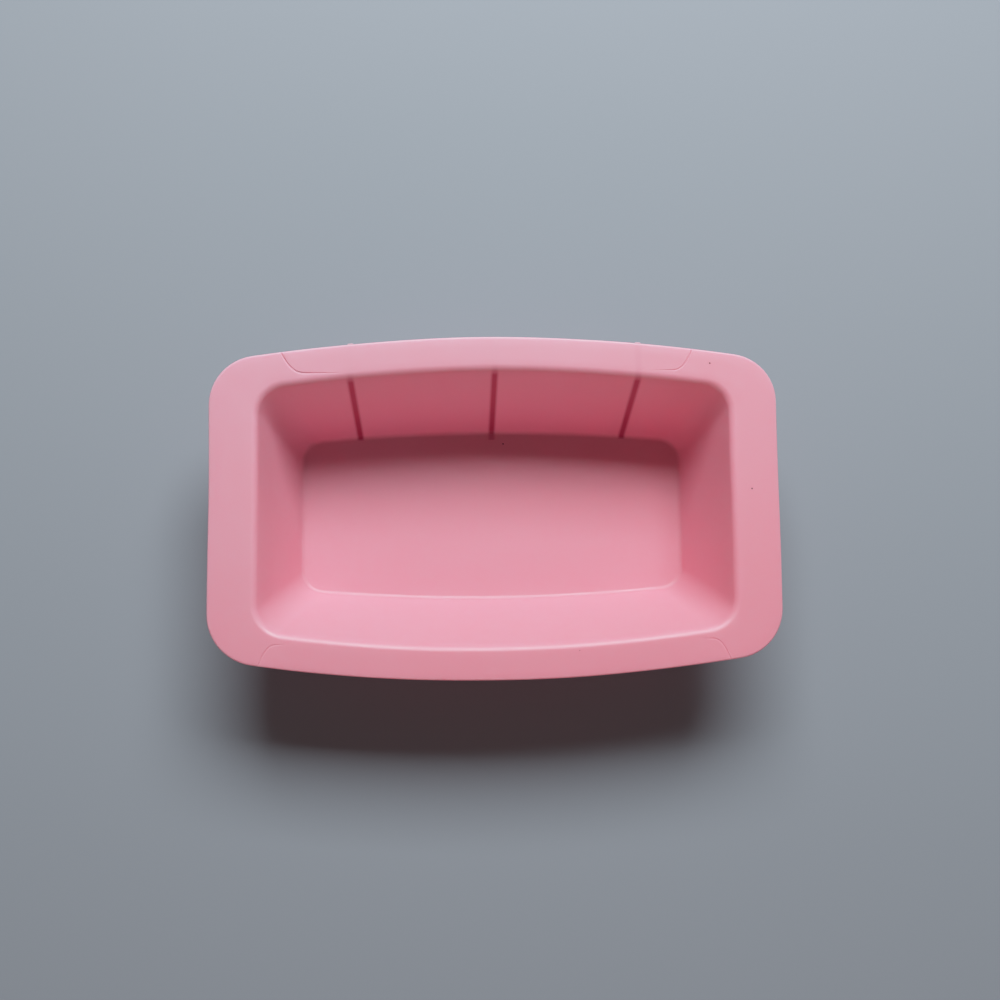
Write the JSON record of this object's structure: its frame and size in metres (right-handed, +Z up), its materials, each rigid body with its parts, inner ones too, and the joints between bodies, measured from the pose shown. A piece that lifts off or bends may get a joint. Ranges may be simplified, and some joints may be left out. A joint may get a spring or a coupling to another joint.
{
  "type": "silicone loaf mould",
  "caption": "Flexible silicone loaf mould for poured soap, with a bowed tapered cavity, a flat gripping rim and outside wall ribs.",
  "frame": {"origin": "centre of the flat underside of the floor, on the surface that the mould stands on", "axes": "+X along the loaf, towards the right-hand grip; +Y towards the back; +Z up, out of the cavity"},
  "size_m": [0.2746, 0.165, 0.062],
  "materials": {
    "silicone": "satin translucent pink silicone, moulded smooth",
    "silicone_ribs": "satin translucent pink silicone, moulded smooth"
  },
  "bodies": {
    "root": {"floor_panel": "silicone", "back_wall": "silicone", "front_wall": "silicone", "left_end_wall": "silicone", "right_end_wall": "silicone", "back_left_corner": "silicone", "back_right_corner": "silicone", "front_left_corner": "silicone", "front_right_corner": "silicone", "back_rim": "silicone", "front_rim": "silicone", "left_grip": "silicone", "right_grip": "silicone", "back_rib_left": "silicone_ribs", "back_rib_middle": "silicone_ribs", "back_rib_right": "silicone_ribs", "front_rib_left": "silicone_ribs", "front_rib_middle": "silicone_ribs", "front_rib_right": "silicone_ribs"}
  },
  "joints": []
}
